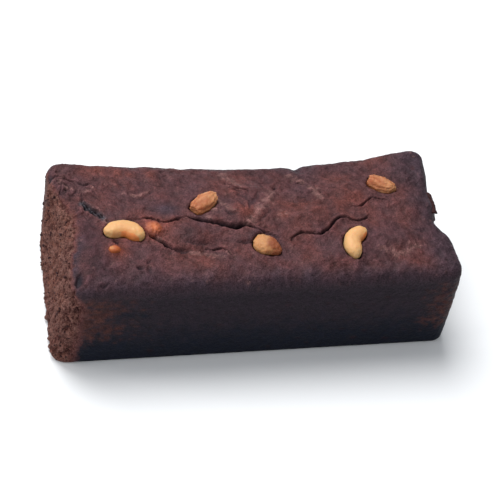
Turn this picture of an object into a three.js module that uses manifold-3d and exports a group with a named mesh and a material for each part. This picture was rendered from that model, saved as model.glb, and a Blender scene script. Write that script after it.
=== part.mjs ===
// A dark fruit cake: one whole loaf, baked in a tin, with nuts and fruit sunk into its cracked crust.
// Millimetres, +Z up. The origin is the middle of the base, +X runs along the loaf and -Y is its front.
import * as THREE from "three";
import { mergeVertices } from "three/addons/utils/BufferGeometryUtils.js";
import Module from "manifold-3d";

const wasm = await Module();
wasm.setup();

// ---- driving dimensions ----
const LENGTH = 236; // the loaf along X
const WIDTH = 100; // the loaf along Y
const RIM_HEIGHT = 62; // from the base to the crust's edge
const DOME = 2.5; // how far the middle of the crust stands above its edge
const CORNER_RADIUS = 11; // the tin's upright corners
const RIM_RADIUS = 7; // the crust's rounded edge
const FOOT_RADIUS = 3; // the rounded edge of the base
const FOOT_TRIM = 0.4; // cut off below, so that the loaf stands flat
const GRID = { along: 54, across: 25, up: 9 }; // faces of the skin each way
const CROWDING = 0.15; // draws the grid's lines together near the edges
const SEAT_GAP = 0.3; // the thin dark gap between a nut and the crust
const NUT_FACES = { round: 18, along: 10 };

// ---- small helpers ----
const { clamp, lerp, smoothstep, degToRad } = THREE.MathUtils;

// 1 in the middle, falling away to nothing a few reaches out.
const hump = (distance, reach) => Math.exp(-((distance / reach) ** 2));

// A geometry's shared points joined, with nothing left on them but their places.
function bare(geometry) {
  geometry.deleteAttribute("normal");
  geometry.deleteAttribute("uv");
  return mergeVertices(geometry, 1e-4);
}

// Every point of a geometry moved by a rule from (x, y, z) to [x, y, z].
function shaped(geometry, rule) {
  const points = geometry.attributes.position;
  for (let i = 0; i < points.count; i++)
    points.setXYZ(i, ...rule(points.getX(i), points.getY(i), points.getZ(i)));
  return geometry;
}

function toSolid(geometry) {
  const mesh = new wasm.Mesh({
    numProp: 3,
    vertProperties: geometry.attributes.position.array,
    triVerts: new Uint32Array(geometry.index.array),
  });
  return new wasm.Manifold(mesh);
}

function toGeometry(solid) {
  const mesh = solid.getMesh();
  const places = new THREE.BufferAttribute(new Float32Array(mesh.vertProperties), 3);
  const geometry = new THREE.BufferGeometry().setAttribute("position", places);
  geometry.setIndex(new THREE.BufferAttribute(new Uint32Array(mesh.triVerts), 1));
  geometry.computeVertexNormals();
  return geometry;
}

// ---- the crust's relief ----
// Swellings where fruit lies under the crust, and one dent: middle, half size along X and Y, height.
const SWELLINGS = [
  { x: -46, y: -14, rx: 15, ry: 9, high: 4 },
  { x: -12, y: 0, rx: 15, ry: 9, high: 4 },
  { x: -9, y: -16, rx: 8, ry: 5, high: 2.5 },
  { x: 2, y: 22, rx: 14, ry: 9, high: 1.6 },
  { x: -100, y: -30, rx: 14, ry: 12, high: 1.6 },
  { x: -74, y: -38, rx: 14, ry: 7, high: 1.4 },
  { x: -28, y: -38, rx: 20, ry: 8, high: 1.6 },
  { x: -69, y: 23, rx: 12, ry: 7, high: -2 },
  { x: -22, y: 32, rx: 18, ry: 10, high: 1.2 },
  { x: 34, y: -4, rx: 15, ry: 9, high: 3 },
  { x: 62, y: 20, rx: 14, ry: 9, high: 2.5 },
  { x: 76, y: -24, rx: 16, ry: 9, high: 3 },
  { x: 100, y: 2, rx: 11, ry: 10, high: 2 },
  { x: 38, y: -36, rx: 14, ry: 7, high: 1.8 },
];
const BACK_SAG = { x: 12, reach: 80, deep: 5 }; // the back edge dips behind the middle
const RELIEF_FROM = 0.55; // the walls below this share of the height keep clear of the crust's relief
const CORNER_RISE = { high: 4.5, start: 70 }; // the back right corner baked higher
const RIM_CHIP = { x: 38, reach: 3.5, deep: 3, from: 36, to: 46 }; // a small chip out of the back edge
const HIP = { from: [-116, 37], to: [-92, 3], deep: 4, reach: 14, ends: [-8, 10] }; // the back left fold

// How far the point (x, y) lies beyond the hip's fold, towards the back left corner.
function beyondHip(x, y) {
  const [ax, ay] = HIP.from;
  const [bx, by] = HIP.to;
  return ((bx - ax) * (ay - y) - (by - ay) * (ax - x)) / Math.hypot(bx - ax, by - ay);
}

// How far the crust stands above the rim's plain height.
function relief(x, y) {
  const back = smoothstep(y, 0, WIDTH / 2);
  let high = DOME * (1 - ((2 * x) / LENGTH) ** 4) * (1 - ((2 * y) / WIDTH) ** 2);
  for (const s of SWELLINGS) high += s.high * hump(Math.hypot((x - s.x) / s.rx, (y - s.y) / s.ry), 1);
  high -= BACK_SAG.deep * hump(x - BACK_SAG.x, BACK_SAG.reach) * back;
  high += CORNER_RISE.high * smoothstep(x, CORNER_RISE.start, LENGTH / 2) * back;
  high -= RIM_CHIP.deep * hump(x - RIM_CHIP.x, RIM_CHIP.reach) * smoothstep(y, RIM_CHIP.from, RIM_CHIP.to);
  high -= HIP.deep * smoothstep(beyondHip(x, y), 0, HIP.reach) * smoothstep(y, ...HIP.ends);
  return high;
}

const crustHeight = (x, y) => RIM_HEIGHT + relief(x, y);

// ---- the walls ----
// How far each wall stands out of the plain box, where h goes from 0 at the base to 1 at the rim.
const LEFT = { foot: 0.5, skew: 0.115, rim: 1.2, shoulder: 7.2, y: 6, reach: 26, lean: 1.5 };
const RIGHT = { foot: 3.2, rim: 1, bow: 4, y: 14, reach: 16 };
const TORN = { deep: 5, y: -11, reach: 8, from: 0.6, to: 0.85 }; // crust torn out of the right end's rim
const BACK = { foot: -3.5, belly: 2.5, bow: 4, x: 12, reach: 80 };
const FRONT = { foot: 2.5, belly: 1 };
const WALL_GRIP = 45; // a wall's shape dies out this far inside the loaf

const leftWall = (y, h) =>
  lerp(LEFT.foot - LEFT.skew * y, LEFT.rim - LEFT.shoulder * hump(y - LEFT.y, LEFT.reach), h ** LEFT.lean);

const rightWall = (y, h) =>
  lerp(RIGHT.foot, RIGHT.rim - RIGHT.bow * hump(y - RIGHT.y, RIGHT.reach), h) -
  TORN.deep * hump(y - TORN.y, TORN.reach) * smoothstep(h, TORN.from, TORN.to);

const backWall = (x, h) =>
  lerp(BACK.foot, -BACK.bow * hump(x - BACK.x, BACK.reach), h) + BACK.belly * Math.sin(Math.PI * h);

const frontWall = (h) => lerp(FRONT.foot, 0, h) + FRONT.belly * Math.sin(Math.PI * h);

// 1 at a wall, 0 from WALL_GRIP inside it.
const grip = (inside) => 1 - smoothstep(inside, 0, WALL_GRIP);

// ---- the loaf ----
// The factor that takes a point of a square corner, a and b past its middle, to its place on a round one.
function cornerTurn(a, b) {
  const far = Math.hypot(a, b);
  return far > 0 ? Math.max(a, b) / far : 1;
}

const crowd = (t) => t * (1 + CROWDING - CROWDING * t * t);

// From a point of a cube between -1 and 1 to the same point of the loaf's skin.
function loafPoint(u, v, w) {
  const x = (crowd(u) * LENGTH) / 2;
  const y = (crowd(v) * WIDTH) / 2;
  const coreX = clamp(x, CORNER_RADIUS - LENGTH / 2, LENGTH / 2 - CORNER_RADIUS);
  const coreY = clamp(y, CORNER_RADIUS - WIDTH / 2, WIDTH / 2 - CORNER_RADIUS);
  const [dx, dy] = [x - coreX, y - coreY];
  const reach = Math.max(Math.abs(dx), Math.abs(dy));
  let z = ((w + 1) / 2) * RIM_HEIGHT;

  const rimOut = Math.max(0, reach - CORNER_RADIUS + RIM_RADIUS);
  const rimUp = Math.max(0, z - RIM_HEIGHT + RIM_RADIUS);
  const rim = rimUp > 0 ? cornerTurn(rimOut, rimUp) : 1;
  z += rimUp * (rim - 1);
  const footOut = Math.max(0, reach - CORNER_RADIUS + FOOT_RADIUS);
  const footDown = Math.max(0, FOOT_RADIUS - z);
  const foot = footDown > 0 ? cornerTurn(footOut, footDown) : 1;
  z -= footDown * (foot - 1);

  const pull = reach > 0 ? 1 + (rimOut * (rim - 1) + footOut * (foot - 1)) / reach : 1;
  const turn = pull * cornerTurn(Math.abs(dx), Math.abs(dy));
  return formed(coreX + dx * turn, coreY + dy * turn, z);
}

// The plain rounded box takes the loaf's own walls and crust.
function formed(x, y, z) {
  const h = z / RIM_HEIGHT;
  const left = leftWall(y, h) * grip(x + LENGTH / 2);
  const right = rightWall(y, h) * grip(LENGTH / 2 - x);
  const back = backWall(x, h) * grip(WIDTH / 2 - y);
  const front = frontWall(h) * grip(y + WIDTH / 2);
  const up = relief(x, y) * smoothstep(h, RELIEF_FROM, 1);
  return [x - left + right, y + back - front, z + up - FOOT_TRIM];
}

// The rounded skin, cut off level at the base.
function plainLoaf() {
  const cube = new THREE.BoxGeometry(2, 2, 2, GRID.along, GRID.across, GRID.up);
  const below = new THREE.BoxGeometry(2 * LENGTH, 2 * WIDTH, RIM_HEIGHT).translate(0, 0, -RIM_HEIGHT / 2);
  return toSolid(shaped(bare(cube), loafPoint)).subtract(toSolid(bare(below)));
}

// ---- torn crust on the right end's rim ----
// Flat pointed flakes: where each grows out, how far it reaches, and its turn from +X in degrees.
const FLAKES = [
  { y: 8, z: 58, long: 2.5, turn: -12 },
  { y: 3, z: 59, long: 4.5, turn: -38 },
  { y: -2, z: 55, long: 4, turn: -30 },
];
const FLAKE = { wide: 9, thick: 3, rooted: 7 };

function flake({ y, z, long, turn }) {
  const cone = new THREE.ConeGeometry(FLAKE.wide / 2, long + FLAKE.rooted, 6);
  cone.rotateZ(-Math.PI / 2).translate((long - FLAKE.rooted) / 2, 0, 0);
  cone.scale(1, 1, FLAKE.thick / FLAKE.wide).rotateZ(degToRad(turn));
  cone.translate(LENGTH / 2 + rightWall(y, z / RIM_HEIGHT), y, z);
  return toSolid(bare(cone));
}

// ---- cracks ----
const CRACKS = [
  { wide: 5, deep: 7, path: [[-104, 14.5], [-99, 8.5], [-92, 3]] },
  { wide: 1.8, deep: 4, path: [[-69, -3], [-64, -1], [-56, -3.8], [-50, -1.8], [-42, 0.5]] },
  { wide: 3.4, deep: 6.5, path: [[-44, 0.8], [-36, -3.4], [-27, -5.8], [-18, -9.6], [-8, -8.8], [-2, -13]] },
  { wide: 1.8, deep: 4, path: [[-70, -13], [-61, -19], [-56, -24.5], [-46, -25.4], [-32, -25], [-22, -29]] },
  { wide: 1.4, deep: 3, path: [[-25, -26], [-16, -21], [-8, -22]] },
  { wide: 1.4, deep: 2.5, path: [[-11, 27], [-5, 22], [1, 19]] },
  { wide: 2.6, deep: 5, path: [[14, -22], [24, -15], [36, -17], [50, -6], [62, -8], [72, -2]] },
  { wide: 1.8, deep: 4, path: [[56, 6], [66, 4], [76, 10], [88, 6]] },
];
const CRACK_STEPS = 3; // to each stretch of a path
const CRACK_END = 0.12; // a crack's share of its width and depth where it runs out
const CRACK_LIP = 0.6; // a wedge stands this share of its depth above the crust

// A wedge along a crack's path, open at the crust, deep in the middle and running out at both ends.
function crackWedge({ wide, deep, path }) {
  const curve = new THREE.CatmullRomCurve3(path.map(([x, y]) => new THREE.Vector3(x, y, 0)));
  const steps = CRACK_STEPS * (path.length - 1);
  const places = [];
  const faces = [];
  for (let i = 0; i <= steps; i++) {
    const { x, y } = curve.getPointAt(i / steps);
    const along = curve.getTangentAt(i / steps);
    const open = lerp(CRACK_END, 1, Math.sqrt(Math.abs(Math.sin((Math.PI * i) / steps))));
    const half = (wide / 2) * open * (1 + CRACK_LIP);
    const top = crustHeight(x, y) + CRACK_LIP * deep;
    places.push(x - along.y * half, y + along.x * half, top);
    places.push(x + along.y * half, y - along.x * half, top);
    places.push(x, y, crustHeight(x, y) - deep * open);
    for (let k = 0; k < 3 && i > 0; k++) {
      const [here, next] = [3 * i - 3, 3 * i];
      const n = (k + 1) % 3;
      faces.push(here + k, here + n, next + n, here + k, next + n, next + k);
    }
  }
  const last = 3 * steps;
  faces.push(0, 2, 1, last, last + 1, last + 2);
  const wedge = new THREE.BufferGeometry().setIndex(faces);
  wedge.setAttribute("position", new THREE.BufferAttribute(new Float32Array(places), 3));
  return toSolid(wedge);
}

// ---- nuts and fruit ----
// Each kind bends and pinches a ball from -1 to 1, with its poles on X and its top and bottom flattened a
// little. grow widens it all over.
const FLATNESS = 2.4; // 2 is a true ball, more is boxier

function ball() {
  const round = new THREE.SphereGeometry(1, NUT_FACES.round, NUT_FACES.along).rotateZ(-Math.PI / 2);
  return shaped(bare(round), (a, b, c) => {
    const full = (Math.hypot(a, b) ** FLATNESS + Math.abs(c) ** FLATNESS) ** (-1 / FLATNESS);
    return [a * full, b * full, c * full];
  });
}

// A kidney: drawn out along X with full ends, and bent round a circle with its inside towards -Y.
function kidney({ long, wide, thick, bend }, grow) {
  return shaped(ball(), (a, b, c) => {
    const full = Math.sqrt(1 + a * a);
    const turn = (a * (long / 2 + grow)) / bend;
    const far = bend + b * full * (wide / 2 + grow);
    return [far * Math.sin(turn), far * Math.cos(turn) - bend, c * full * (thick / 2 + grow)];
  });
}

// A kernel: broken off blunt at -X and slantwise near +X, with ridges along its length.
const KERNEL = { point: 0.2, blunt: 0.82, break: 0.71, slant: 37, soft: 0.9, ridges: 9, ridge: 0.05 };

function kernel({ long, wide, thick }, grow) {
  const [cos, sin] = [Math.cos(degToRad(KERNEL.slant)), Math.sin(degToRad(KERNEL.slant))];
  return shaped(ball(), (a, b, c) => {
    const slim = 1 - KERNEL.point * Math.max(0, a) ** 2;
    const ribbed = slim * (1 + KERNEL.ridge * Math.cos(KERNEL.ridges * Math.atan2(c, b)));
    const x = Math.max(a, -KERNEL.blunt) * (long / 2 + grow);
    const y = b * ((wide / 2) * ribbed + grow);
    const past = KERNEL.soft * Math.max(0, x * cos - y * sin - (KERNEL.break * long) / 2 - grow);
    return [x - past * cos, y + past * sin, c * ((thick / 2) * ribbed + grow)];
  });
}

// A plump lump with a softer end at +X.
const PLUMP_TIP = 0.3;

function plump({ long, wide, thick }, grow) {
  return shaped(ball(), (a, b, c) => {
    const slim = 1 - PLUMP_TIP * Math.max(0, a) ** 2;
    return [a * (long / 2 + grow), b * ((wide / 2) * slim + grow), c * ((thick / 2) * slim + grow)];
  });
}

// A broken half: a lump with three blunt corners, one of them at +X.
const HALF_CORNER = 0.08; // how far the corners stand out, as a share of the size

function half({ long, wide, thick }, grow) {
  return shaped(ball(), (a, b, c) => {
    const out = 1 + HALF_CORNER * (a * a + b * b) * Math.cos(3 * Math.atan2(b, a));
    return [a * out * (long / 2 + grow), b * out * (wide / 2 + grow), c * (thick / 2 + grow)];
  });
}

const GOLDEN = { color: 0xd9a066, roughness: 0.5, metalness: 0 };
const TOASTED = { color: 0xc08452, roughness: 0.6, metalness: 0 };
const AMBER = { color: 0xb46b4e, roughness: 0.45, metalness: 0 };
const CRUST = { color: 0x4b3230, roughness: 0.75, metalness: 0 };

// Each topping: its kind and size, its middle, its turn in degrees, and how far it stands up from the crust.
const TOPPINGS = {
  cashew: {
    kind: kidney,
    size: { long: 24, wide: 10.8, thick: 8.5, bend: 9.8 },
    seat: { x: -81.9, y: -7.5, turn: -14, up: 0.3 },
    look: GOLDEN,
  },
  fruit_lump: {
    kind: plump,
    size: { long: 12.5, wide: 11.5, thick: 8 },
    seat: { x: -65, y: -8.6, turn: -8, up: -0.9 },
    look: AMBER,
  },
  nut_bit: {
    kind: plump,
    size: { long: 7.5, wide: 5, thick: 5 },
    seat: { x: -91, y: -22.6, turn: -5, up: -0.2 },
    look: AMBER,
  },
  almond_piece: {
    kind: kernel,
    size: { long: 23, wide: 11, thick: 8 },
    seat: { x: -30.4, y: 9.5, turn: 36, up: 0.7 },
    look: TOASTED,
  },
  nut_half: {
    kind: half,
    size: { long: 16.9, wide: 13.4, thick: 8 },
    seat: { x: -0.4, y: -24.2, turn: -30, up: 0 },
    look: GOLDEN,
  },
  cashew_right: {
    kind: kidney,
    size: { long: 25, wide: 10.2, thick: 8.5, bend: 10.5 },
    seat: { x: 53, y: -24, turn: 63, up: 0.3 },
    look: GOLDEN,
  },
  almond_right: {
    kind: kernel,
    size: { long: 20, wide: 10.5, thick: 8 },
    seat: { x: 84, y: 20, turn: -32, up: 0.5 },
    look: TOASTED,
  },
};

// A topping's solid in its place in the crust.
function seated({ kind, size, seat }, grow) {
  const shape = kind(size, grow).rotateZ(degToRad(seat.turn));
  return toSolid(shape.translate(seat.x, seat.y, crustHeight(seat.x, seat.y) + seat.up));
}

// ---- the object ----
function named(name, solid, look) {
  const mesh = new THREE.Mesh(toGeometry(solid), new THREE.MeshStandardMaterial(look));
  mesh.name = name;
  return mesh;
}

const fruitCake = new THREE.Group();
let loaf = plainLoaf();
for (const torn of FLAKES) loaf = loaf.add(flake(torn));
for (const crack of CRACKS) loaf = loaf.subtract(crackWedge(crack));
for (const [name, topping] of Object.entries(TOPPINGS)) {
  loaf = loaf.subtract(seated(topping, SEAT_GAP));
  fruitCake.add(named(name, seated(topping, 0), topping.look));
}
fruitCake.add(named("cake", loaf, CRUST));

export default fruitCake;
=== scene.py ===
# %% [markdown]
# # A whole dark fruit cake
#
# One loaf, baked in a tin, with nuts and fruit sunk into a cracked crust. The imported CAD model holds its
# true sizes in a few thousand flat faces. Here every solid gets a fine skin of the same form, worked out
# from the same named sizes, and a material with the colour, gloss and grain of the real thing. The model
# is loaded first, and every piece made later rides on an empty named after its body.

# %% Load the imported model
import math

import bmesh
import bpy
import numpy as np
from mathutils import Matrix, Vector, kdtree, noise


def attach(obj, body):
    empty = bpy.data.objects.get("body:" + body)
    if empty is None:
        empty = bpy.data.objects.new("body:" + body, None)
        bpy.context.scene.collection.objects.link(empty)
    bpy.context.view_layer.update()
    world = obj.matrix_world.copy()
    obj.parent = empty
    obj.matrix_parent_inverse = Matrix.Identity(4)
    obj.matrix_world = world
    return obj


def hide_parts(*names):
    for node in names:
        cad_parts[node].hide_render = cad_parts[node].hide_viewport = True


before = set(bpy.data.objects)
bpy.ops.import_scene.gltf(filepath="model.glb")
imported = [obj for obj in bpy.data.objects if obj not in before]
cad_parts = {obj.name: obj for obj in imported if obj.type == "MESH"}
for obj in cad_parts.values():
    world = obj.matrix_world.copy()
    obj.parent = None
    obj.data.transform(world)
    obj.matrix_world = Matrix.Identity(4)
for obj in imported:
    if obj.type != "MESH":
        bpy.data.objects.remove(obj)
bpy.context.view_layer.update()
print("CAD nodes:", ", ".join(sorted(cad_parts)))

# %% [markdown]
# ## A few small curves
#
# Baked things have no sharp steps, so their form is put together from soft ones: a straight blend, a rise
# that starts and ends level, and a hump, round or oval. They work on whole numpy arrays, so a hundred
# thousand points are shaped in one go. Sizes are in millimetres until a mesh is made, because that is how a
# cake is measured.

# %% Blend, rise and humps
MM = 0.001


def lerp(a, b, share):
    return a + (b - a) * share


def smoothstep(x, low, high):
    """0 below low, 1 above high, and a soft rise between them."""
    t = np.clip((x - low) / (high - low), 0, 1)
    return t * t * (3 - 2 * t)


def hump(distance, reach):
    """1 in the middle, falling away to nothing a few reaches out."""
    return np.exp(-((distance / reach) ** 2))


def oval_hump(x, y, mid_x, mid_y, half_x, half_y, uneven=0):
    """A hump over an oval, with a border that a noise can bend."""
    return hump(np.hypot((x - mid_x) / half_x, (y - mid_y) / half_y) + uneven, 1)


# %% [markdown]
# ## The crust's large forms
#
# A fruit cake's top isn't a plain dome. Fruit and nuts lift the batter from below into low swellings, one
# place sank, the back edge sagged in the tin and one corner rose. Each of these is a hump or a rise with a
# middle, a reach and a height, so the whole crust is a sum that can be read off line by line.

# %% How far the crust stands above its edge
LENGTH, WIDTH, RIM_HEIGHT = 236, 100, 62
DOME = 2.5
SWELLINGS = [  # middle x, y, half sizes along x and y, height
    (-46, -14, 15, 9, 4),
    (-12, 0, 15, 9, 4),
    (-9, -16, 8, 5, 2.5),
    (2, 22, 14, 9, 1.6),
    (-100, -30, 14, 12, 1.6),
    (-74, -38, 14, 7, 1.4),
    (-28, -38, 20, 8, 1.6),
    (-69, 23, 12, 7, -2),
    (-22, 32, 18, 10, 1.2),
    (34, -4, 15, 9, 3),
    (62, 20, 14, 9, 2.5),
    (76, -24, 16, 9, 3),
    (100, 2, 11, 10, 2),
    (38, -36, 14, 7, 1.8),
    (-110, 52, 15, 13, 2.4),
    (104, 52, 14, 12, 1.2),
]
BACK_SAG = {"x": 12, "reach": 80, "deep": 5}
CORNER_RISE = {"high": 4.5, "start": 70}
RIM_CHIP = {"x": 38, "reach": 3.5, "deep": 3, "start": 36, "end": 46}
HIP = {"start": (-116, 37), "end": (-92, 3), "deep": 4, "reach": 14, "fade": (-8, 10)}
RELIEF_FROM = 0.55  # the walls below this share of the height keep clear of the relief


def hip_place(x, y):
    """How far a point lies along the fold that cuts off the back left corner, and how far beyond it."""
    (ax, ay), (bx, by) = HIP["start"], HIP["end"]
    long = math.hypot(bx - ax, by - ay)
    along = ((x - ax) * (bx - ax) + (y - ay) * (by - ay)) / long
    beyond = ((bx - ax) * (ay - y) - (by - ay) * (ax - x)) / long
    return along, beyond


def relief(x, y):
    back = smoothstep(y, 0, WIDTH / 2)
    high = DOME * (1 - (2 * x / LENGTH) ** 4) * (1 - (2 * y / WIDTH) ** 2)
    for *oval, lift in SWELLINGS:
        high = high + lift * oval_hump(x, y, *oval)
    high = high - BACK_SAG["deep"] * hump(x - BACK_SAG["x"], BACK_SAG["reach"]) * back
    high = high + CORNER_RISE["high"] * smoothstep(x, CORNER_RISE["start"], LENGTH / 2) * back
    chip = hump(x - RIM_CHIP["x"], RIM_CHIP["reach"]) * smoothstep(y, RIM_CHIP["start"], RIM_CHIP["end"])
    high = high - RIM_CHIP["deep"] * chip
    fold = smoothstep(hip_place(x, y)[1], 0, HIP["reach"]) * smoothstep(y, *HIP["fade"])
    return high - HIP["deep"] * fold


def crust_height(x, y):
    return RIM_HEIGHT + relief(x, y)


print(f"the crust stands {float(crust_height(-12.0, 0.0)):.1f} mm high at its middle swelling")

# %% [markdown]
# ## The walls
#
# The tin's sides flare, the paper left them uneven, and the left end leans in at its shoulder. Each wall is
# a rule that says how far it stands out of a plain box at a place and a height. It fades out inside the
# loaf, so that neighbouring walls meet without a seam.

# %% How far each wall stands out of a plain box
LEFT = {"foot": 0.5, "skew": 0.115, "rim": 1.2, "shoulder": 7.2, "y": 6, "reach": 26, "lean": 1.5}
RIGHT = {"foot": 3.2, "rim": 1, "bow": 4, "y": 14, "reach": 16}
TORN = {"deep": 6, "y": -8, "reach": 9, "start": 0.55, "end": 0.85}
BACK = {"foot": -3.5, "belly": 2.5, "bow": 4, "x": 12, "reach": 80}
FRONT = {"foot": 2.5, "belly": 1}
WALL_GRIP = 45  # how far inside the loaf a wall's rule still pulls


def left_wall(y, h):
    shoulder = LEFT["rim"] - LEFT["shoulder"] * hump(y - LEFT["y"], LEFT["reach"])
    return lerp(LEFT["foot"] - LEFT["skew"] * y, shoulder, h ** LEFT["lean"])


def right_wall(y, h):
    bowed = lerp(RIGHT["foot"], RIGHT["rim"] - RIGHT["bow"] * hump(y - RIGHT["y"], RIGHT["reach"]), h)
    torn = hump(y - TORN["y"], TORN["reach"]) * smoothstep(h, TORN["start"], TORN["end"])
    return bowed - TORN["deep"] * torn


def back_wall(x, h):
    bow = BACK["bow"] * hump(x - BACK["x"], BACK["reach"])
    return lerp(BACK["foot"], -bow, h) + BACK["belly"] * np.sin(math.pi * h)


def front_wall(h):
    return lerp(FRONT["foot"], 0, h) + FRONT["belly"] * np.sin(math.pi * h)


def grip(inside):
    """1 at a wall, 0 from WALL_GRIP inside it."""
    return 1 - smoothstep(inside, 0, WALL_GRIP)


print(f"the left wall's foot stands {left_wall(-WIDTH / 2, 0):.1f} mm out of the box in front")

# %% [markdown]
# ## From a cube to the loaf
#
# The skin starts as a cube from -1 to 1 whose sides are cut into squares. One rule carries each of its
# points to the loaf: stretch it, round the tin's corners, the crust's edge and the foot, then push the
# walls and the crust to their own shapes. A cube keeps all faces four-sided and the skin closed, which a
# height field with separate walls wouldn't.

# %% The rule that shapes the loaf
CORNER_RADIUS, RIM_RADIUS, FOOT_RADIUS = 9, 6.5, 3
FOOT_TRIM = 0.4  # cut off below, so that the loaf stands flat
CROWDING = 0.15  # draws the lines of squares together near the edges


def crowd(t):
    return t * (1 + CROWDING - CROWDING * t * t)


def corner_turn(a, b):
    """The factor that takes a point of a square corner, a and b past its middle, to a round one."""
    far = np.hypot(a, b)
    return np.where(far > 0, np.maximum(a, b) / np.maximum(far, 1e-9), 1)


def formed(x, y, z):
    """The plain rounded box takes the loaf's own walls and crust."""
    h = z / RIM_HEIGHT
    left = left_wall(y, h) * grip(x + LENGTH / 2)
    right = right_wall(y, h) * grip(LENGTH / 2 - x)
    back = back_wall(x, h) * grip(WIDTH / 2 - y)
    front = front_wall(h) * grip(y + WIDTH / 2)
    up = relief(x, y) * smoothstep(h, RELIEF_FROM, 1)
    return np.stack([x - left + right, y + back - front, np.maximum(z + up - FOOT_TRIM, 0)], 1)


def loaf_points(cube):
    x, y = crowd(cube[:, 0]) * LENGTH / 2, crowd(cube[:, 1]) * WIDTH / 2
    z = (cube[:, 2] + 1) / 2 * RIM_HEIGHT
    core_x = np.clip(x, CORNER_RADIUS - LENGTH / 2, LENGTH / 2 - CORNER_RADIUS)
    core_y = np.clip(y, CORNER_RADIUS - WIDTH / 2, WIDTH / 2 - CORNER_RADIUS)
    dx, dy = x - core_x, y - core_y
    reach = np.maximum(abs(dx), abs(dy))

    rim_out = np.maximum(0, reach - CORNER_RADIUS + RIM_RADIUS)
    rim_up = np.maximum(0, z - RIM_HEIGHT + RIM_RADIUS)
    rim = np.where(rim_up > 0, corner_turn(rim_out, rim_up), 1)
    z = z + rim_up * (rim - 1)
    foot_out = np.maximum(0, reach - CORNER_RADIUS + FOOT_RADIUS)
    foot_down = np.maximum(0, FOOT_RADIUS - z)
    foot = np.where(foot_down > 0, corner_turn(foot_out, foot_down), 1)
    z = z - foot_down * (foot - 1)

    pull = 1 + (rim_out * (rim - 1) + foot_out * (foot - 1)) / np.maximum(reach, 1e-9)
    turn = pull * corner_turn(abs(dx), abs(dy))
    return formed(core_x + dx * turn, core_y + dy * turn, z)


# %% [markdown]
# ## Cracks and creases
#
# The crust sets while the crumb below still swells, so it splits along the edges of the swellings, and
# where it only stretched it dries into fine creases. Both are lines drawn through a few points of the
# crust, so they are kept as short paths with a width and a depth. Near a line the crust first rolls down
# softly and then drops steeply, which is what makes a crack read as a dark line between two rounded lips.
# Across the widest one, two twisted strands of crust still hold.

# %% The lines in the crust
SPANNED = (3.5, 6, [(-102, 16.5), (-99.3, 12.4), (-95.6, 7.7), (-92.3, 2.6)], 0.95)
CRACKS = [  # width, depth, path, and how high the strands across it stand, as a share of the depth
    SPANNED,
    (1.8, 4, [(-72, 0), (-67, 0.6), (-62, -1), (-56, -3.8), (-50, -1.8), (-42, 0.5)]),
    (3.2, 6, [(-44, 0.8), (-36, -3.1), (-26, -6.4), (-17, -9.6), (-8.5, -9.4), (-1, -13.7)]),
    (2.1, 5, [(-69, -13.2), (-66.9, -15), (-61.5, -19.1), (-59, -22.2), (-56, -24.5)]),
    (1.3, 2.6, [(-38.5, -25), (-33.7, -25.4), (-27.2, -24.6), (-23.8, -28), (-22.4, -30)]),
    (1.4, 2.5, [(-11, 27), (-5, 22), (1, 19)]),
    (1.6, 3.8, [(14, -22), (24, -15), (36, -17), (50, -6), (62, -8), (72, -2)]),
    (1.2, 2.6, [(56, 6), (66, 4), (76, 10), (88, 6)]),
]
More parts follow.
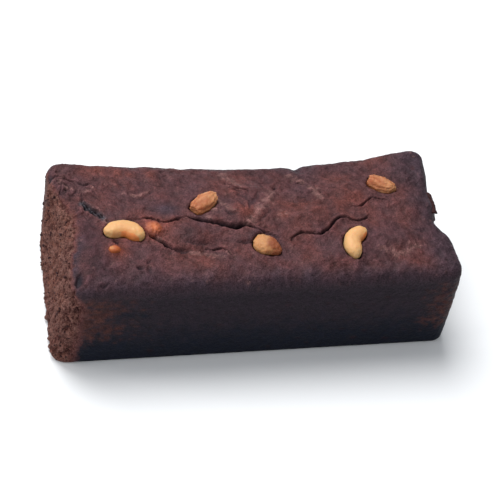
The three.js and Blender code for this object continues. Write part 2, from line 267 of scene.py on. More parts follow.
CREASES = [  # width, depth and path; a crease with a depth below 0 is a ridge
    (1.7, 1.6, [(-118, 36.6), (-113.1, 37.9), (-109.8, 36.4), (-106.6, 34.6), (-102.8, 32.7)]),
    (1.6, 1.5, [(-102.8, 32.7), (-98, 29.9), (-94.3, 30.5), (-90.8, 27.4), (-87.4, 23.6)]),
    (3.0, 2.2, [(-117, 41.2), (-116.5, 38.5), (-116.4, 36.1)]),
    (1.2, 1.2, [(-113.8, 34.3), (-110.6, 32.4), (-107.6, 29.7), (-105.3, 26.3)]),
    (1.1, 1.0, [(-110.1, 34.8), (-112.2, 27.2), (-113.7, 21)]),
    (2.4, 1.5, [(-109.8, 28.4), (-109.1, 27.8), (-108.4, 27.2)]),
    (1.3, 1.1, [(-108.4, 24.6), (-106.5, 23.1), (-104.4, 24.4), (-102, 27.6)]),
    (1.3, 1.1, [(-115.1, 22.8), (-113.7, 21), (-112, 21.4), (-108.8, 20)]),
    (1.2, 0.9, [(-98.9, 25.8), (-94.9, 22.2), (-91.6, 17.9), (-89.6, 13.6)]),
    (1.4, 1.0, [(-100.6, 25), (-101.1, 19.4), (-101.5, 16.2)]),
    (1.1, 0.8, [(-96.5, 27), (-93.5, 23.8), (-89.5, 19.5), (-87.5, 16)]),
    (3.0, 2.6, [(-90.8, -14.8), (-88.9, -16.2), (-86.5, -16.3)]),
    (1.1, 0.8, [(-69.5, -22.4), (-65.7, -24.1), (-62, -25.6)]),
    (1.6, 1.6, [(-91.5, 1.6), (-90, 0.2), (-87, 0.8)]),
    (2.0, 1.5, [(-77, 35.5), (-76, 31), (-74.7, 28.7), (-72.6, 25.6)]),
    (2.4, -0.7, [(-72.5, 21.8), (-69.2, 20.2), (-65.1, 22.3), (-62, 24)]),
    (2.0, 1.3, [(-70.5, 17.6), (-66, 17.4), (-60, 22), (-56, 25.5)]),
    (1.8, 1.4, [(-80, -0.4), (-76, 0.2), (-71, 0.6)]),
    (2.6, 1.6, [(-57, -24), (-52.5, -25.2), (-45, -25.8)]),
    (2.6, 1.2, [(-52, -19), (-46.3, -20.5), (-40.3, -21.4), (-32.6, -19.8)]),
    (2.2, 3.2, [(-8.5, -10), (-3, -12.8), (4.5, -15.7), (10.4, -19.4)]),
    (1.8, 2.2, [(-18, -19.8), (-12.3, -21.3), (-8, -20.9)]),
    (2.6, 1.6, [(-20.2, 3.2), (-17, -0.6), (-12.2, -0.8)]),
    (3.4, 1.3, [(6, 19), (3, 13.2), (-2, 8.4), (-5, 2)]),
    (3.2, -0.6, [(13, 17.6), (8, 8.8), (-1, 0), (-7, -7.4)]),
    (4.2, 2.8, [(16.6, 23.6), (17.8, 23.1), (19, 22.6)]),
    (2.0, 1.4, [(-32, -27.5), (-30, -29.8), (-28.4, -32)]),
    (3.2, 1.4, [(-74.6, -36), (-73, -38.6), (-74.4, -41.6)]),
    (1.6, 0.9, [(-63, 39), (-59.5, 37), (-55.5, 39)]),
    (1.6, 0.9, [(-10, 38), (-10.6, 31), (-13, 25)]),
    (2.4, 1.8, [(-9.4, 22.9), (-6.5, 20.5), (-4, 17.4)]),
    (1.5, 1.0, [(-21, 7.4), (-18, 5.4), (-15, 3.4)]),
    (1.8, 1.1, [(-17.1, 9), (-12.2, 12.9), (-7.7, 11.5), (-6.9, 4.4), (-10, -1.9)]),
    (1.6, 1.0, [(-16.5, 15.3), (-10.8, 17.9), (-5.2, 16), (-2.5, 10.4), (-3.7, 2.7)]),
    (2.0, 1.2, [(10.4, 3.6), (2.4, -3.5), (-5, -9)]),
    (3.2, 2.1, [(-80.8, -35.1), (-78.6, -36.8), (-76, -36.3)]),
    (2.0, 1.6, [(-74.6, -32.6), (-73, -32.2), (-71.4, -32.1)]),
    (1.7, 1.4, [(-104.5, -45.4), (-101.5, -47), (-97.7, -45)]),
    (5.4, 2.6, [(-112.2, -36), (-114.2, -41), (-116.6, -46)]),
    (1.5, 1.0, [(24, 30), (33, 27), (41, 31)]),
    (1.5, 1.0, [(58, -34), (68, -39), (80, -36)]),
    (1.6, 1.1, [(90, -12), (98, -17), (104, -14)]),
    (1.4, 0.9, [(20, 12), (28, 9), (38, 11)]),
]
CRACK_END = 0.12  # a line's share of its width and depth where it runs out
WOBBLE = {"size": 4, "far": 0.6, "wide": 0.45}  # no crack runs as smoothly as its path, or as evenly wide
ROLL, LIP = 0.13, 0.2  # how far the crust sinks towards a line, and its lips curl up, for each mm of depth
BANK = (0.15, 1.15)  # where a line's steep side starts and ends, in half its width
STRANDS = {"at": 0.42, "reach": 0.26, "turns": 1.3, "dip": 0.15}
SEARCHED = 12  # only points this close to a line are measured
FAR = 1e3  # stands for the distance of all others


def fractal(points, size, octaves=3):
    """Soft noise from about -1 to 1 whose largest lumps are about size across. Moved points give another."""
    scaled = (points / size).tolist()
    return np.array([noise.fractal(p, 1.0, 2.0, octaves) for p in scaled])


def smooth_path(corners, steps=24):
    """Many close points along a smooth line through a few corners."""
    p = np.array(corners, float)
    p = np.vstack([2 * p[0] - p[1], p, 2 * p[-1] - p[-2]])
    t = np.linspace(0, 1, steps, endpoint=False)[:, None]
    parts = []
    for a, b, c, d in zip(p, p[1:], p[2:], p[3:]):
        bend = (a - 2.5 * b + 2 * c - d / 2) * t**2 + (1.5 * b - a / 2 - 1.5 * c + d / 2) * t**3
        parts.append(b + (c - a) / 2 * t + bend)
    return np.vstack(parts + [p[-2:-1]])


def nearest(xy, line):
    """Each point's distance from a line's points, and the number of the nearest one."""
    away = np.full(len(xy), FAR)
    which = np.zeros(len(xy), int)
    close = ((xy > line.min(0) - SEARCHED) & (xy < line.max(0) + SEARCHED)).all(1)
    far = np.hypot(*(xy[close][:, None] - line[None]).transpose(2, 0, 1))
    which[close] = far.argmin(1)
    away[close] = far.min(1)
    return away, which


def away_from(xy, path):
    """Each point's distance from the smooth line through a path's corners."""
    return nearest(xy, smooth_path(path))[0]


def strands(xy, line, which, half_width):
    """1 on two twisted strands that follow a line, each swinging from one of its sides to the other."""
    (ahead_x, ahead_y), (off_x, off_y) = np.gradient(line, axis=0)[which].T, (xy - line[which]).T
    across = (ahead_x * off_y - ahead_y * off_x) / np.hypot(ahead_x, ahead_y) / half_width
    turn = STRANDS["turns"] * 2 * math.pi * which / (len(line) - 1)
    both = []
    for side in (1, -1):
        swing, up = side * STRANDS["at"] * np.cos(turn), side * np.sin(turn)
        both.append(hump(across - swing, STRANDS["reach"]) * (1 - STRANDS["dip"] + STRANDS["dip"] * up))
    return np.max(both, axis=0)


def groove(xy, uneven, wide, deep, path, spanned=0):
    """How far the crust drops near a crack or a crease, or rises where deep is below 0."""
    line = smooth_path(path)
    away, which = nearest(xy, line)
    share = lerp(CRACK_END, 1, np.sqrt(abs(np.sin(math.pi * which / (len(line) - 1)))))
    half_width = wide / 2 * share * uneven
    drop = 1 - smoothstep(away, BANK[0] * half_width, BANK[1] * half_width)
    roll = ROLL * hump(away, 1.4 * wide)
    lip = LIP * hump(away - 1.5 * half_width - 0.3, 0.35 + 0.3 * wide)
    middle = spanned * strands(xy, line, which, half_width) * (away < 1.2 * half_width) if spanned else 0
    return share * deep * (lip + middle - roll - drop)


print(f"{len(CRACKS)} cracks and {len(CREASES)} creases")

# %% [markdown]
# ## Nuts and fruit
#
# A cashew is a kidney, an almond is a ribbed kernel, and a candied fruit is a plump lump. Each is a ball
# that is bent, pinched and ribbed by a rule. The same rule gives the outline that the topping presses into
# the crust, so the seat always fits what sits in it.

# %% The kinds of topping
KERNEL = {"point": 0.2, "blunt": 0.82, "break": 0.71, "slant": 37, "soft": 0.9, "ridges": 9, "ridge": 0.035}
RIB_SWAY = 0.22  # how far the ribs wander round the kernel, in radians
PLUMP_TIP = 0.3
HALF_CORNER = 0.08  # how far a broken half's corners stand out, as a share of its size


def cos_sin(degrees):
    return math.cos(math.radians(degrees)), math.sin(math.radians(degrees))


def kidney(ball, long, wide, thick, bend):
    """Drawn out along X with full ends, and bent round a circle with its inside towards -Y."""
    a, b, c = ball.T
    full = np.sqrt(1 + a * a)
    turn = a * long / 2 / bend
    far = bend + b * full * wide / 2
    return np.stack([far * np.sin(turn), far * np.cos(turn) - bend, c * full * thick / 2], 1)


def ribs(ball):
    """1 on the kernel's wandering ribs, -1 between them."""
    a, b, c = ball.T
    around = np.arctan2(c, b)
    return np.cos(KERNEL["ridges"] * (around + RIB_SWAY * np.sin(3.5 * a + 2 * around)))


def kernel(ball, long, wide, thick):
    """Broken off blunt at -X and slantwise near +X, with ridges along its length."""
    a, b, c = ball.T
    cos, sin = cos_sin(KERNEL["slant"])
    slim = 1 - KERNEL["point"] * np.maximum(0, a) ** 2
    ribbed = slim * (1 + KERNEL["ridge"] * ribs(ball))
    x, y = np.maximum(a, -KERNEL["blunt"]) * long / 2, b * wide / 2 * ribbed
    past = KERNEL["soft"] * np.maximum(0, x * cos - y * sin - KERNEL["break"] * long / 2)
    return np.stack([x - past * cos, y + past * sin, c * thick / 2 * ribbed], 1)


def plump(ball, long, wide, thick):
    """A plump lump with a softer end at +X."""
    a, b, c = ball.T
    slim = 1 - PLUMP_TIP * np.maximum(0, a) ** 2
    return np.stack([a * long / 2, b * wide / 2 * slim, c * thick / 2 * slim], 1)


def chip(ball, long, wide, thick):
    """A chip of nut in syrup has a plump lump's form, but stayed pale at -X."""
    return plump(ball, long, wide, thick)


def half(ball, long, wide, thick):
    """A broken half: a lump with three blunt corners, one of them at +X."""
    a, b, c = ball.T
    out = 1 + HALF_CORNER * (a * a + b * b) * np.cos(3 * np.arctan2(b, a))
    return np.stack([a * out * long / 2, b * out * wide / 2, c * thick / 2], 1)


# %% Where each topping sits
TOPPINGS = {  # kind; length, width, thickness, a kidney's bend; x, y, turn in degrees, height above the crust
    "cashew": (kidney, (24, 10.8, 8.5, 9.8), (-81.9, -7.5, -14, 0.3)),
    "fruit_lump": (plump, (12.5, 11.5, 8), (-65, -8.6, -8, -0.9)),
    "nut_bit": (chip, (7.5, 5, 5), (-91, -22.6, -5, -0.2)),
    "almond_piece": (kernel, (23, 11, 8), (-30.4, 9.5, 36, 0.7)),
    "nut_half": (half, (16.9, 13.4, 8), (-0.4, -24.2, -30, 0)),
    "cashew_right": (kidney, (25, 10.2, 8.5, 10.5), (53, -24, 63, 0.3)),
    "almond_right": (kernel, (20, 10.5, 8), (84, 20, -32, 0.5)),
}
OPEN_SEAT = {"deep": 5, "from": -0.6, "to": 0.85, "lip": 0.6, "lip_at": 2.1, "lip_reach": 1.3}
SEATS = {  # batter crept up these two, so no gap shows round them
    "fruit_lump": {"deep": 3.5, "from": -3.2, "to": -2, "lip": 1.3, "lip_at": -1.1, "lip_reach": 2.1},
    "nut_bit": {"deep": 3, "from": -1.8, "to": -0.9, "lip": 0.4, "lip_at": 0.1, "lip_reach": 1},
}


def outline(kind, size, seat):
    """The topping's widest section, as a closed ring of points on the crust."""
    x, y, turn, _ = seat
    angle = np.linspace(0, 2 * math.pi, 240, endpoint=False)
    ring = kind(np.stack([np.cos(angle), np.sin(angle), 0 * angle], 1), *size)[:, :2]
    cos, sin = cos_sin(turn)
    return ring @ np.array([[cos, sin], [-sin, cos]]) + (x, y)


def outside_of(xy, ring):
    """Each point's distance from a ring, negative inside it."""
    away, _ = nearest(xy, ring)
    inside = np.zeros(len(xy), bool)
    close = away < FAR
    x, y = xy[close].T
    odd = np.zeros(len(x), bool)
    for (ax, ay), (bx, by) in zip(ring, np.roll(ring, -1, axis=0)):
        if ay != by:
            odd ^= ((ay > y) != (by > y)) & (x < ax + (bx - ax) * (y - ay) / (by - ay))
    inside[close] = odd
    return np.where(inside, -away, away)


def seat_dip(name, away, uneven):
    """How far the crust gives way under a topping, and the low uneven lip that it raises round it."""
    seat = SEATS.get(name, OPEN_SEAT)
    dip = -seat["deep"] * (1 - smoothstep(away, seat["from"], seat["to"]))
    return dip + seat["lip"] * uneven * hump(away - seat["lip_at"], seat["lip_reach"]) * (away > seat["from"])


RINGS = {name: outline(*topping) for name, topping in TOPPINGS.items()}
print("toppings:", ", ".join(RINGS))

# %% [markdown]
# ## The loaf's mesh
#
# A crack two millimetres wide needs faces of half a millimetre, but the whole loaf at that size would be
# nearly half a million of them. So the cube is first cut into squares of about a millimetre, and only those
# near a crack, a nut or the rough left end are cut once more. The flat middle of the base becomes one face.

# %% Cut the cube and refine it where the detail is
SQUARES = (240, 100, 50)  # along X, Y and Z
NEAR = {"crack": 2.6, "ring": 2.2}  # how far from a line or a nut the squares are cut again
ON_TOP = RIM_HEIGHT * 0.8  # points above this belong to the crust
CRUMB_EDGE = np.array(  # y, and how far in from the left rim the rough crumb reaches; below 0 it stops lower
    [(-50, -7), (-36, -3), (-24, 0.2), (-18, 3.4), (-12, 5.2), (-5, 7.6)]
    + [(2, 7.6), (10, 8.2), (19, 5), (27, 0.5), (32, -2), (50, -6)]
).T
CORNER_SPLIT = {"x": -112, "start": 38}  # past this, the corners belong to the long walls
TRANSITION = 3.2  # half the width of the soft border between crumb and crust


def crumb_share(p, slack):
    """1 on the rough left end, where the paper pulled the skin off, and 0 on baked crust."""
    x, y, z = p.T
    inward = x + LENGTH / 2 + z - crust_height(x, y)
    on_end = smoothstep(np.interp(y, *CRUMB_EDGE) + slack - inward, -TRANSITION, TRANSITION)
    on_corner = smoothstep(abs(y) - CORNER_SPLIT["start"], -1, 1)
    past = smoothstep(x + slack, CORNER_SPLIT["x"] - 1.5 * TRANSITION, CORNER_SPLIT["x"] + 1.5 * TRANSITION)
    return on_end * (1 - on_corner * past)


def verts_of(mesh):
    co = np.empty(len(mesh.vertices) * 3)
    mesh.vertices.foreach_get("co", co)
    return co.reshape(-1, 3)


def cut_cube(squares):
    """A cube from -1 to 1 in bmesh, cut into that many squares each way."""
    bm = bmesh.new()
    bmesh.ops.create_cube(bm, size=2)
    for axis, count in enumerate(squares):
        edges = [e for e in bm.edges if abs((e.verts[0].co - e.verts[1].co)[axis]) > 1e-6]
        bmesh.ops.subdivide_edges(bm, edges=edges, cuts=count - 1)
    return bm


def points_in(bm):
    bm.verts.index_update()
    return np.array([v.co for v in bm.verts])


def points_and_faces(squares):
    """A cut cube as an array of points and a list of faces."""
    bm = cut_cube(squares)
    points = points_in(bm)
    faces = [[v.index for v in f.verts] for f in bm.faces]
    bm.free()
    return points, faces


def merge_base(bm, p):
    """Joins the squares of the flat base into one face."""
    inside = (abs(p[:, 0]) < LENGTH / 2 - CORNER_RADIUS) & (abs(p[:, 1]) < WIDTH / 2 - CORNER_RADIUS)
    flat = (p[:, 2] < 1e-6) & inside
    base = [f for f in bm.faces if all(flat[v.index] for v in f.verts)]
    bmesh.ops.dissolve_faces(bm, faces=base, use_verts=True)


def refine(bm, wanted):
    """Cuts once more each face whose corners are all wanted."""
    faces = [f for f in bm.faces if all(wanted[v.index] for v in f.verts)]
    edges = {e for f in faces for e in f.edges}
    bmesh.ops.subdivide_edges(bm, edges=list(edges), cuts=1, use_grid_fill=True)


bm = cut_cube(SQUARES)
p = loaf_points(points_in(bm))
near_line = np.min([away_from(p[:, :2], crack[2]) for crack in CRACKS], axis=0) < NEAR["crack"]
near_nut = np.min([abs(outside_of(p[:, :2], ring)) for ring in RINGS.values()], axis=0) < NEAR["ring"]
near_hip = abs(hip_place(p[:, 0], p[:, 1])[1]) < HIP["reach"]
near_hip = near_hip & (p[:, 0] < HIP["end"][0]) & (p[:, 1] > 0)
on_top = p[:, 2] > ON_TOP
refine(bm, (on_top & (near_line | near_nut | near_hip)) | (crumb_share(p, 0) > 0.3))
p = loaf_points(points_in(bm))
refine(bm, (away_from(p[:, :2], SPANNED[2]) < NEAR["crack"]) & (p[:, 2] > ON_TOP))
merge_base(bm, loaf_points(points_in(bm)))

cake_mesh = bpy.data.meshes.new("cake_skin")
bm.to_mesh(cake_mesh)
bm.free()
plain = loaf_points(verts_of(cake_mesh))
print(f"the loaf's skin has {len(cake_mesh.polygons)} faces")

# %% [markdown]
# ## Crust detail
#
# The plain form now takes its small relief, in the order in which it came about. First the soft lumps of a
# dry skin over uneven batter, with patches of thin crinkles, then the wrinkled fold at the back left corner,
# then the cracks and creases, and last the seats of the nuts. Here and there the dry skin tore and rough
# crumb shows through, and the lighter colour of these torn spots is partly that crumb and partly a painted
# highlight on crinkles. All of it fades out over the rim, because a tin's walls are pressed smooth.

# %% Raise and cut the crust
TOP_FADE = (RIM_HEIGHT * 0.78, RIM_HEIGHT * 0.97)  # the small relief sets in between these heights
LUMPS = [(15, 0.9), (6, 0.6), (2.8, 0.32)]  # size across and height
CRINKLES = {"size": 6.5, "thin": 0.14, "deep": 0.5, "patch": 24}
WRINKLES = {"size": 1.8, "stretch": 3.4, "high": 0.9, "start": -9, "end": 14, "along": (-8, 46)}
# Torn spots show lighter crumb, and their lighter colour is partly a painted highlight on the crinkles.
TORN_SKIN = [  # how far it reaches to each side, and its path
    (4.4, [(-11, 37), (-7.8, 30.7), (-4.8, 26.2)]),
    (3.4, [(13, 18), (8, 8.8), (-1, 0), (-7, -7.4)]),
    (2.2, [(-21.4, 12.8), (-19.4, 8.4), (-16.4, 1.8)]),
    (2.2, [(15, -1.4), (16.4, -1), (17.6, -0.4)]),
    (2.2, [(-30.3, -0.2), (-26.7, 2.7), (-23.2, 4.6)]),
    (2.4, [(-46, -27), (-37.5, -28.6), (-30, -30.5)]),
    (1.8, [(-24, -27.7), (-21.5, -31)]),
    (1.5, [(-66.2, -14.6), (-61, -17.6)]),
    (1.1, [(-72.5, 21.4), (-69.2, 19.9), (-65.1, 22), (-61, 24)]),
    (1.4, [(-112, 34), (-109, 30.5), (-106, 27)]),
    (1.0, [(-117.6, 33.8), (-115.8, 34.5), (-113.6, 35.5)]),
    (0.9, [(-112.6, 39), (-110.7, 37.7), (-109, 36)]),
    (1.3, [(-102.1, 24.4), (-97.8, 25.3), (-93.8, 27.1)]),
    (1.0, [(-111.8, 15.2), (-109.8, 13.8), (-107.8, 12.5)]),
    (1.0, [(-108.5, 9.5), (-108.2, 3.7), (-108.8, -2.7), (-110.5, -8)]),
    (1.6, [(-93, 1), (-90, -1), (-87, -1)]),
    (3.2, [(30, 34), (38, 26), (44, 12)]),
    (3.0, [(70, -30), (82, -34), (93, -28)]),
]
TORN_GRAIN = (2.2, 1.1)  # size and height of the crumb that shows in them
TORN_EDGE = (2.4, 0.9)  # size and height of the waves in their borders


def crinkles(flat):
    """Thin creases where a soft noise passes through nothing. A wider noise says where they show."""
    thin = 1 - smoothstep(abs(fractal(flat + 70, CRINKLES["size"], 2)), 0, CRINKLES["thin"])
    return -CRINKLES["deep"] * thin * smoothstep(fractal(flat - 40, CRINKLES["patch"], 1), -0.1, 0.35)


def wrinkles(x, y):
    """Round folds with sharp creases between them, that run along the hip of the back left corner."""
    along, across = hip_place(x, y)
    place = np.stack([along / WRINKLES["stretch"], across, 0 * x], 1)
    first, last = WRINKLES["along"]
    there = smoothstep(across, WRINKLES["start"], 1) * (1 - smoothstep(across, 6, WRINKLES["end"]))
    there = there * smoothstep(along, first, first + 8) * (1 - smoothstep(along, last - 16, last))
    return WRINKLES["high"] * there * (2 * abs(fractal(place, WRINKLES["size"], 2)) - 0.5)


def torn_at(flat):
    """1 where the dry skin tore, with a ragged border."""
    spots = [hump(away_from(flat[:, :2], path), reach) for reach, path in TORN_SKIN]
    size, high = TORN_EDGE
    return smoothstep(np.max(spots, axis=0) + high * fractal(flat + 90, size), 0.4, 1.1)


def crust_detail(p):
    """The small relief, how sunken and how torn each point is, and how high it lies in the fine relief, which
    sets the painted light and shade.
    """
    x, y = p[:, 0], p[:, 1]
    flat = np.stack([x, y, 0 * x], 1)
    torn = torn_at(flat)
    swell, *fine = (high * fractal(flat, size) for size, high in LUMPS)
    grain = TORN_GRAIN[1] * torn * fractal(flat + 15, TORN_GRAIN[0])
    fine = sum(fine) + crinkles(flat) + wrinkles(x, y) + grain
    shift = WOBBLE["far"] * np.stack([fractal(flat, WOBBLE["size"]), fractal(flat + 50, WOBBLE["size"])], 1)
    uneven = 1 + WOBBLE["wide"] * fractal(flat - 20, WOBBLE["size"])
    lines = sum(groove(p[:, :2] + shift, uneven, *line) for line in CRACKS + CREASES)
    seats = sum(seat_dip(name, outside_of(p[:, :2], ring), uneven) for name, ring in RINGS.items())
    return swell + fine + lines + seats, -np.minimum(lines + seats, 0), torn, fine + np.maximum(lines, 0)


x, y, z = plain.T
top_share = smoothstep(z, *TOP_FADE) * (1 - 0.8 * crumb_share(plain, 0))
raised, sunk, torn, relief_shade = crust_detail(plain)
skin = plain.copy()
skin[:, 2] += raised * top_share
sunk = sunk * top_share
print(f"the deepest crack or seat is {sunk.max():.1f} mm deep")

# %% [markdown]
# ## Scuffed walls and a rough end
#
# The lining paper left its marks. At the left end it took the smooth skin with it, apart from a strip at the
# back and the foot, and the open crumb shows. On the long walls it scuffed the dark skin near their ends,
# between a wavy lower border and the crust, and left a few black smears. Each of these is a share from 0 to
# 1 for every point, with a ragged border made by noise, so shape and colour can both use it.

# %% Where the paper left its marks
WALL_FADE = (50, 62)  # the walls' finish gives way to the crust's between these heights
RAGGED = [(5, 2.0), (1.6, 1.3)]  # size and height of the waves in every border
STREAK = {"stretch": (3.2, 3.2, 1.2), "size": 1.8, "high": 0.35}  # layers in the batter along the long walls
# How far the scuffs reach along the long walls, how high, and how patchy they are on the right end.
SCUFF = {"left": 46, "right": 24, "low": 20, "high": 60, "patchy": 0.45}
SCUFF_SWAY = (16, 5)  # size and height of the waves in its lower border
SMEARS = [(-84.5, 40.5, 4.5, 1.8), (-76, 39.5, 4, 1.6)]  # on the front wall: x, z, half sizes
# The skin that stayed at the back and the foot of the rough end is smoother, and its greyish tint is partly a
# painted sheen of that edge seen at a grazing angle.
BAKED_EDGE = {"start": 35, "end": 40, "foot": 2.2, "smooth": 0.85}  # skin that stayed on the rough end


def noises(points, sizes):
    """The sum of several soft noises, each with its size and height."""
    return sum(high * fractal(points, size) for size, high in sizes)


ragged = noises(plain, RAGGED)
crumb = crumb_share(plain, ragged)
below_rim = (1 - crumb) * (1 - smoothstep(z, *WALL_FADE))
wall = below_rim * smoothstep(z, 0.5, 3)
streaks = fractal(plain / STREAK["stretch"], STREAK["size"])
from_right = np.maximum((LENGTH / 2 - x) / SCUFF["right"], SCUFF["patchy"])
from_end = np.minimum((x + LENGTH / 2) / SCUFF["left"], from_right)
worn = smoothstep(1 - from_end + 0.55 * streaks + 0.16 * ragged, 0.1, 1.1)
sway = SCUFF_SWAY[1] * fractal(plain, SCUFF_SWAY[0])
worn = worn * smoothstep(z + 3 * ragged + sway, SCUFF["low"] - 5, SCUFF["low"] + 7)
smear = np.max([oval_hump(x, z, *oval, 0.2 * ragged) for oval in SMEARS], axis=0) * (y < 0)
scuff = wall * worn * (1 - smoothstep(z + 2 * ragged, SCUFF["high"] - 9, SCUFF["high"])) * (1 - smear)
at_back = smoothstep(y + 0.8 * ragged, BAKED_EDGE["start"], BAKED_EDGE["end"])
baked_edge_and_sheen = crumb * np.maximum(at_back, 1 - smoothstep(z + 0.3 * ragged, 0.6, BAKED_EDGE["foot"]))
open_crumb = crumb * (1 - BAKED_EDGE["smooth"] * baked_edge_and_sheen)
print(f"rough crumb covers {crumb.mean():.0%} of the skin's points")

# %% [markdown]
# ## Pores
#
# Open crumb is hundreds of torn bubbles, few of them round. They are cut into the mesh, not only painted,
# because this rough end makes the loaf's outline. Bubbles are dropped on random points of the skin, and
# each pushes the points within its radius inwards. A noise bends the distances, so that no bubble comes out
# round. The crust and the tin's walls keep a few shallow ones.

# %% Cut bubbles into the walls
RANDOM = np.random.default_rng(20)
BUBBLES = {  # how many, middle radius, its spread, and depth for each mm of radius
    "crumb": (1300, 0.66, 0.5, 0.9),
    "wall": (420, 0.75, 0.35, 0.4),
    "crust": (170, 0.75, 0.35, 0.55),
}
BUBBLE_LIMITS = (0.35, 1.9)  # the smallest and the largest radius
BEND = {"size": 1.3, "far": 0.65, "least": 0.6}  # how the noise bends a bubble's edge
GRAIN = [(9, 0.9), (4, 0.75), (1.4, 0.36)]  # size and height of the crumb's roughness
SCRAPE = {"lean": 0.5, "long": 4, "size": 2.2, "high": 0.7}  # marks of the paper, up the rough end


def normals_of(mesh, points):
    mesh.vertices.foreach_set("co", points.ravel())
    mesh.update()
    normals = np.empty(len(points) * 3)
    mesh.vertex_normals.foreach_get("vector", normals)
    return normals.reshape(-1, 3)


def bubbles(points, share, bend, count, middle, spread, depth, squash=(1, 1, 1)):
    """How deep the bubbles are at each point. share says where they may be, bend how their edges run."""
    tree = kdtree.KDTree(len(points))
    place = points / squash
    for i, co in enumerate(place):
        tree.insert(co, i)
    tree.balance()
    centres = RANDOM.choice(len(points), count, p=share / share.sum())
    radii = np.clip(RANDOM.lognormal(math.log(middle), spread, count), *BUBBLE_LIMITS)
    deep = np.zeros(len(points))
    for centre, radius in zip(centres, radii):
        for _, i, away in tree.find_range(place[centre], radius / bend.min()):
            deep[i] = max(deep[i], depth * radius * (1 - (away * bend[i] / radius) ** 2))
    return deep


normals = normals_of(cake_mesh, skin)
bend = np.maximum(1 + BEND["far"] * fractal(plain, BEND["size"], 2), BEND["least"])
pores = bubbles(skin, open_crumb**6 * smoothstep(z, 1, 3), bend, *BUBBLES["crumb"], squash=(1, 1, 1.7))
pores = pores + bubbles(skin, wall * (0.2 + scuff), bend, *BUBBLES["wall"], squash=(1.8, 1.8, 1))
pores = pores + bubbles(skin, (1 - crumb) * top_share * (sunk < 0.1), bend, *BUBBLES["crust"])
scrapes = fractal(np.stack([x, y + SCRAPE["lean"] * z, z / SCRAPE["long"]], 1), SCRAPE["size"])
rough = noises(plain + 30, GRAIN) + SCRAPE["high"] * scrapes
layers = (STREAK["high"] * streaks + 0.45 * rough) * (0.3 + 0.7 * scuff) * wall
push = (rough * open_crumb + layers - pores) * smoothstep(z, 0, 2.5)  # the base itself stays flat
skin = skin + normals * push[:, None]
skin[:, 2] = np.maximum(skin[:, 2], 0)
print(f"the pores are up to {pores.max():.1f} mm deep")

# %% [markdown]
# ## Hand the masks to the material
#
# The material has to know where crumb shows, which points lie deep in a crack or a pore, to paint shade
# there, where the tin's wall is and where the paper scuffed it, where the crust is darker, partly as painted
# shade along its edges, how high the fine relief stands, to paint light on it and shade in its hollows, and
# where syrup from a fruit just below reddened it. All of that is known here exactly, so it goes onto the mesh
# as named values for each point.

# %% Stains and dark places on the crust
STAINS = [  # middle x and y, reach and strength
    (-65, -8.6, 8.5, 1),
    (-58.5, -7, 5, 0.5),
    (-89.6, -22.6, 5.4, 1),
    (-7, 1.5, 7.5, 0.6),
    (16.2, -1.2, 3, 0.5),
    (66, 10, 6, 0.5),
    (-2, 36, 9, 0.4),
    (-88, 42, 4, 0.4),
    (-76, 40, 4, 0.5),
    (-69.5, 38, 3, 0.4),
    (-56, 38, 3.5, 0.45),
]
# The darker brown band beside the rough left end, and where it fades to the back and the front.
UMBER = {"x": -102, "reach": 12, "back": (-12, 8), "front": (41, 50)}
RIM_DUSK = {"in": 3.5, "reach": 4, "from": 4, "to": 20}  # the dark strip beside the rough crumb, along -Y
DUSK_EDGES = {"front": (36, 51), "back": (47, 51), "right": (86, 114)}  # where the other dark edges set in
DUSK_SPOTS = [  # middle x and y, half sizes along x and y, strength
    (-54, 8, 9, 7, 1),
    (-46, -13, 17, 9, 0.4),
    (-108, 32, 14, 14, 0.6),
    (-88, 2, 12, 9, 0.3),
]


def stain_at(x, y):
    """How strongly the syrup reddened the crust at each point."""
    spots = [strength * hump(np.hypot(x - at_x, y - at_y), reach) for at_x, at_y, reach, strength in STAINS]
    return np.max(spots, axis=0)


def umber_at(x, y, uneven):
    """1 on a darker band, which ends softly towards the back and the front rim."""
    band = hump(x - UMBER["x"] + 4 * uneven, UMBER["reach"])
    return band * smoothstep(-y, *UMBER["back"]) * (1 - smoothstep(-y, *UMBER["front"]))


def dusk_at(x, y, uneven):
    """1 along the edges of the top and on a few spots, painted a dull blue black: partly crust that baked
    darker, partly painted shade where the top turns away from the light.
    """
    strip = hump(x + LENGTH / 2 - np.interp(y, *CRUMB_EDGE) - RIM_DUSK["in"] + uneven, RIM_DUSK["reach"])
    strip = strip * smoothstep(-y, RIM_DUSK["from"], RIM_DUSK["to"])
    front = smoothstep(-y + 2 * uneven, *DUSK_EDGES["front"])
    back = smoothstep(y, *DUSK_EDGES["back"])
    right = smoothstep(x + 4 * uneven, *DUSK_EDGES["right"])
    spots = [strength * oval_hump(x, y, *oval, 0.25 * uneven) for *oval, strength in DUSK_SPOTS]
    return np.max([strip, front, right, back, *spots], axis=0)


def strands_at(xy):
    """1 on the strands of crust that span the widest crack."""
    wide, _, path, _ = SPANNED
    return hump(away_from(xy, path), 0.45 * wide)


# %% Finish the loaf's object
# Cracks, seats and pores are painted darker the deeper they go, which is painted shade.
FULL_DEPTH, FULL_PORE = 3, 1.1  # how many mm down a crack or a pore is as dark as it gets


def add_object(name, mesh, smooth=True):
    made = bpy.data.objects.new(name, mesh)
    bpy.context.collection.objects.link(made)
    if smooth:
        mesh.shade_smooth()
    return made


def set_mask(mesh, name, values):
    mask = mesh.attributes.new(name, "FLOAT", "POINT")
    mask.data.foreach_set("value", np.clip(values, 0, 1).astype(np.float32))


